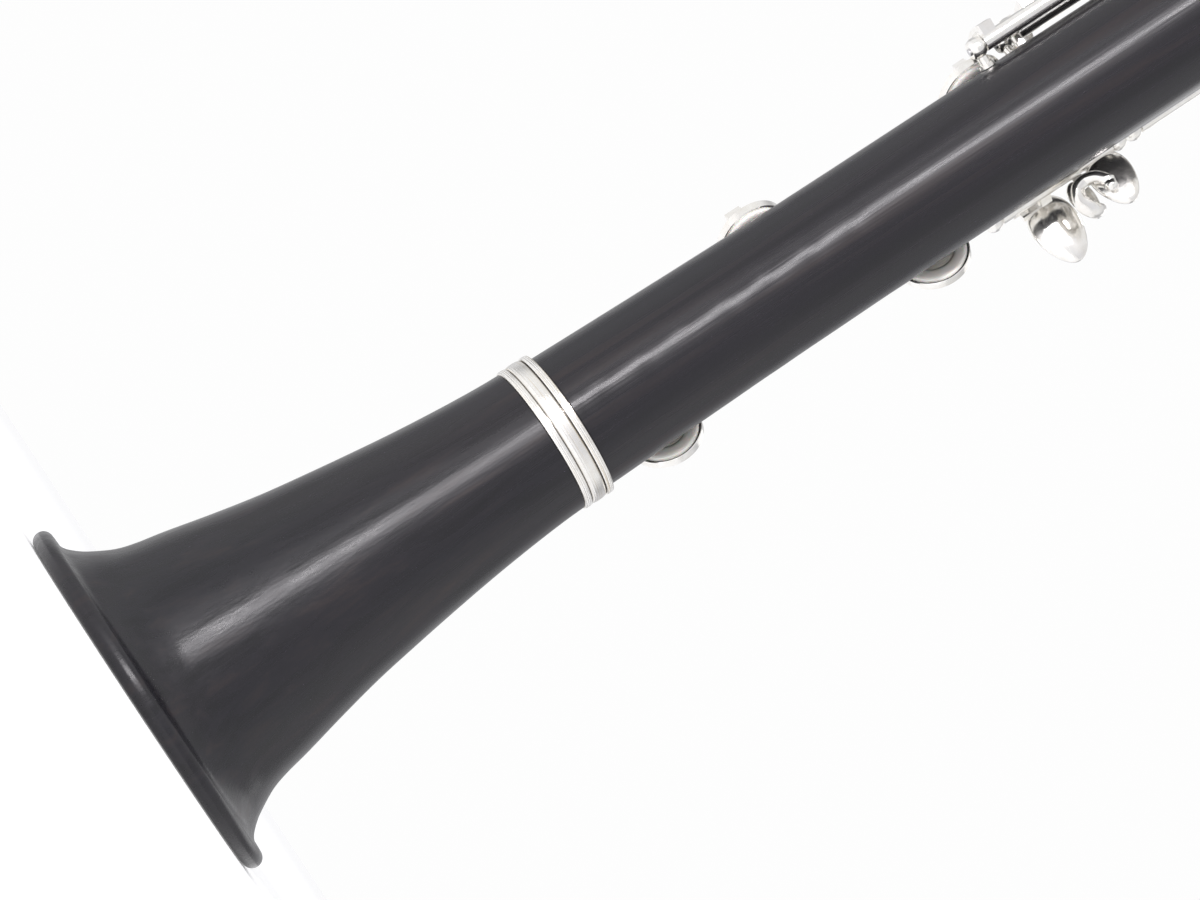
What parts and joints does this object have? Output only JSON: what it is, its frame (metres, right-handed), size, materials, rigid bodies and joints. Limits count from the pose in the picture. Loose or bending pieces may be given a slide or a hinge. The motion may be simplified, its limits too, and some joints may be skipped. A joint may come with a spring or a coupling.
{
  "type": "clarinet",
  "caption": "B flat soprano clarinet: wooden bell, two joints and barrel, mouthpiece with reed and ligature, and silver-plated sprung keys on hinge rods.",
  "frame": {"origin": "centre of the bell mouth, on the plane the bell stands on", "axes": "+Z along the bore towards the mouthpiece tip, -Y the side with the finger holes, +Y the thumb and reed side, +X the player's left"},
  "size_m": [0.079, 0.079, 0.671],
  "materials": {
    "grenadilla_wood": "oiled satin",
    "cork": "matte",
    "silver_bands": "silver plate, lightly tarnished",
    "silver_keys": "polished silver plate",
    "spring_steel": "satin",
    "ebonite": "polished hard rubber",
    "cane": "matte",
    "pad_skin": "satin"
  },
  "bodies": {
    "clarinet_body": {"bell": "grenadilla_wood", "lower_joint": "grenadilla_wood", "upper_joint": "grenadilla_wood", "barrel": "grenadilla_wood", "tone_hole_rings": "grenadilla_wood", "bell_tenon_cork": "cork", "middle_tenon_cork": "cork", "top_tenon_cork": "cork", "mouthpiece_cork": "cork", "bell_ring": "silver_bands", "lower_joint_ring": "silver_bands", "barrel_lower_ring": "silver_bands", "barrel_upper_ring": "silver_bands", "mouthpiece": "ebonite", "reed": "cane", "ligature": "silver_keys", "ligature_screws": "silver_keys", "register_tube": "silver_keys", "thumb_tube": "silver_keys", "thumb_rest": "silver_keys", "thumb_rest_screws": "silver_keys", "lower_posts": "silver_keys", "upper_posts": "silver_keys", "lower_hinge_rods": "spring_steel", "upper_hinge_rods": "spring_steel", "cross_hinge_rods": "spring_steel", "lower_needle_springs": "spring_steel"},
    "lower_ring_key": {"lower_ring_key": "silver_keys", "lower_ring_pad": "pad_skin"},
    "e_b_key": {"e_b_key": "silver_keys", "e_b_pad": "pad_skin"},
    "f_c_key": {"f_c_key": "silver_keys", "f_c_pad": "pad_skin"},
    "f_sharp_c_sharp_key": {"f_sharp_c_sharp_key": "silver_keys", "f_sharp_c_sharp_pad": "pad_skin"},
    "a_flat_e_flat_key": {"a_flat_e_flat_key": "silver_keys", "a_flat_e_flat_pad": "pad_skin"},
    "left_e_b_lever": {"left_e_b_lever": "silver_keys"},
    "left_f_sharp_c_sharp_lever": {"left_f_sharp_c_sharp_lever": "silver_keys"},
    "left_f_c_lever": {"left_f_c_lever": "silver_keys"},
    "b_f_sharp_sliver_key": {"b_f_sharp_sliver_key": "silver_keys"},
    "upper_first_ring_key": {"upper_first_ring_key": "silver_keys"},
    "upper_second_ring_key": {"upper_second_ring_key": "silver_keys"},
    "thumb_ring_key": {"thumb_ring_key": "silver_keys"},
    "e_flat_b_flat_sliver_key": {"e_flat_b_flat_sliver_key": "silver_keys"},
    "side_key_1": {"side_key_1": "silver_keys"},
    "side_key_2": {"side_key_2": "silver_keys"},
    "side_key_3": {"side_key_3": "silver_keys"},
    "side_key_4": {"side_key_4": "silver_keys"},
    "register_key": {"register_key": "silver_keys", "register_pad": "pad_skin"},
    "throat_a_key": {"throat_a_key": "silver_keys", "throat_a_pad": "pad_skin"},
    "throat_g_sharp_key": {"throat_g_sharp_key": "silver_keys", "throat_g_sharp_pad": "pad_skin"},
    "c_sharp_g_sharp_key": {"c_sharp_g_sharp_key": "silver_keys", "c_sharp_g_sharp_pad": "pad_skin"}
  },
  "joints": [
    {"name": "lower_ring_key_hinge", "type": "hinge", "parent": "clarinet_body", "child": "lower_ring_key", "pos_m": [-0.01338, -0.01292, 0.282], "axis": [0, 0, 1], "range_deg": [0, 4.8], "stiffness_Nm_per_rad": 0.03, "springref_deg": -20.05},
    {"name": "e_b_key_hinge", "type": "hinge", "parent": "clarinet_body", "child": "e_b_key", "pos_m": [0.00481, -0.01797, 0.173], "axis": [0, 0, 1], "range_deg": [-8.8, 0], "stiffness_Nm_per_rad": 0.03, "springref_deg": 20.05},
    {"name": "f_c_key_hinge", "type": "hinge", "parent": "clarinet_body", "child": "f_c_key", "pos_m": [0.00049, -0.01859, 0.204], "axis": [0, 0, 1], "range_deg": [-10.8, 0], "stiffness_Nm_per_rad": 0.03, "springref_deg": 20.05},
    {"name": "f_sharp_c_sharp_key_hinge", "type": "hinge", "parent": "clarinet_body", "child": "f_sharp_c_sharp_key", "pos_m": [-0.00387, -0.01819, 0.192], "axis": [0, 0, 1], "range_deg": [-8, 0], "stiffness_Nm_per_rad": 0.03, "springref_deg": 20.05},
    {"name": "a_flat_e_flat_key_hinge", "type": "hinge", "parent": "clarinet_body", "child": "a_flat_e_flat_key", "pos_m": [-0.01338, -0.01292, 0.218], "axis": [0, 0, 1], "range_deg": [-5, 0], "stiffness_Nm_per_rad": 0.03, "springref_deg": 20.05},
    {"name": "left_e_b_lever_hinge", "type": "hinge", "parent": "clarinet_body", "child": "left_e_b_lever", "pos_m": [0.01699, -0.00756, 0.276], "axis": [0, 0, 1], "range_deg": [0, 3.96], "stiffness_Nm_per_rad": 0.03, "springref_deg": -20.05},
    {"name": "left_f_sharp_c_sharp_lever_hinge", "type": "hinge", "parent": "clarinet_body", "child": "left_f_sharp_c_sharp_lever", "pos_m": [0.01842, -0.00259, 0.277], "axis": [0, 0, 1], "range_deg": [0, 6.56], "stiffness_Nm_per_rad": 0.03, "springref_deg": -20.05},
    {"name": "left_f_c_lever_hinge", "type": "hinge", "parent": "clarinet_body", "child": "left_f_c_lever", "pos_m": [0.01842, 0.00259, 0.272], "axis": [0, 0, 1], "range_deg": [0, 4.86], "stiffness_Nm_per_rad": 0.03, "springref_deg": -20.05},
    {"name": "b_f_sharp_sliver_key_hinge", "type": "hinge", "parent": "clarinet_body", "child": "b_f_sharp_sliver_key", "pos_m": [0.01013, -0.0156, 0.272], "axis": [0, 0, 1], "range_deg": [-12, 0], "stiffness_Nm_per_rad": 0.03, "springref_deg": 20.05},
    {"name": "upper_first_ring_key_hinge", "type": "hinge", "parent": "clarinet_body", "child": "upper_first_ring_key", "pos_m": [-0.01145, -0.01466, 0.431], "axis": [0, 0, 1], "range_deg": [0, 4.8], "stiffness_Nm_per_rad": 0.03, "springref_deg": -20.05},
    {"name": "upper_second_ring_key_hinge", "type": "hinge", "parent": "clarinet_body", "child": "upper_second_ring_key", "pos_m": [-0.01145, -0.01466, 0.392], "axis": [0, 0, 1], "range_deg": [0, 4.8], "stiffness_Nm_per_rad": 0.03, "springref_deg": -20.05},
    {"name": "thumb_ring_key_hinge", "type": "hinge", "parent": "clarinet_body", "child": "thumb_ring_key", "pos_m": [0.01338, 0.01292, 0.421], "axis": [0, 0, 1], "range_deg": [0, 5.5], "stiffness_Nm_per_rad": 0.03, "springref_deg": -20.05},
    {"name": "e_flat_b_flat_sliver_key_hinge", "type": "hinge", "parent": "clarinet_body", "child": "e_flat_b_flat_sliver_key", "pos_m": [0.01196, -0.01425, 0.414], "axis": [0, 0, 1], "range_deg": [-9, 0], "stiffness_Nm_per_rad": 0.03, "springref_deg": 20.05},
    {"name": "side_key_1_hinge", "type": "hinge", "parent": "clarinet_body", "child": "side_key_1", "pos_m": [-0.01576, -0.0091, 0.404], "axis": [0.5, -0.866, 0], "range_deg": [0, 3.1], "stiffness_Nm_per_rad": 0.03, "springref_deg": -20.05},
    {"name": "side_key_2_hinge", "type": "hinge", "parent": "clarinet_body", "child": "side_key_2", "pos_m": [-0.0178, -0.00378, 0.404], "axis": [0.2079, -0.9781, 0], "range_deg": [0, 3.3], "stiffness_Nm_per_rad": 0.03, "springref_deg": -20.05},
    {"name": "side_key_3_hinge", "type": "hinge", "parent": "clarinet_body", "child": "side_key_3", "pos_m": [-0.0181, 0.0019, 0.404], "axis": [-0.1045, -0.9945, 0], "range_deg": [0, 3.2], "stiffness_Nm_per_rad": 0.03, "springref_deg": -20.05},
    {"name": "side_key_4_hinge", "type": "hinge", "parent": "clarinet_body", "child": "side_key_4", "pos_m": [-0.01663, 0.0074, 0.404], "axis": [-0.4067, -0.9135, 0], "range_deg": [0, 2.8], "stiffness_Nm_per_rad": 0.03, "springref_deg": -20.05},
    {"name": "register_key_hinge", "type": "hinge", "parent": "clarinet_body", "child": "register_key", "pos_m": [0, 0.0182, 0.47], "axis": [-1, 0, 0], "range_deg": [0, 5], "stiffness_Nm_per_rad": 0.03, "springref_deg": -20.05},
    {"name": "throat_a_key_hinge", "type": "hinge", "parent": "clarinet_body", "child": "throat_a_key", "pos_m": [0, -0.0182, 0.472], "axis": [1, 0, 0], "range_deg": [0, 7], "stiffness_Nm_per_rad": 0.03, "springref_deg": -20.05},
    {"name": "throat_g_sharp_key_hinge", "type": "hinge", "parent": "clarinet_body", "child": "throat_g_sharp_key", "pos_m": [0.0112, -0.01434, 0.466], "axis": [0.788, 0.6157, 0], "range_deg": [0, 7], "stiffness_Nm_per_rad": 0.03, "springref_deg": -20.05},
    {"name": "c_sharp_g_sharp_key_hinge", "type": "hinge", "parent": "clarinet_body", "child": "c_sharp_g_sharp_key", "pos_m": [0.0178, -0.00378, 0.378], "axis": [0.2079, 0.9781, 0], "range_deg": [0, 6], "stiffness_Nm_per_rad": 0.03, "springref_deg": -20.05}
  ],
  "couplings": [
    {"joint": "left_e_b_lever_hinge", "follows": "e_b_key_hinge", "ratio": -0.45},
    {"joint": "left_f_sharp_c_sharp_lever_hinge", "follows": "f_sharp_c_sharp_key_hinge", "ratio": -0.82},
    {"joint": "left_f_c_lever_hinge", "follows": "f_c_key_hinge", "ratio": -0.45}
  ]
}
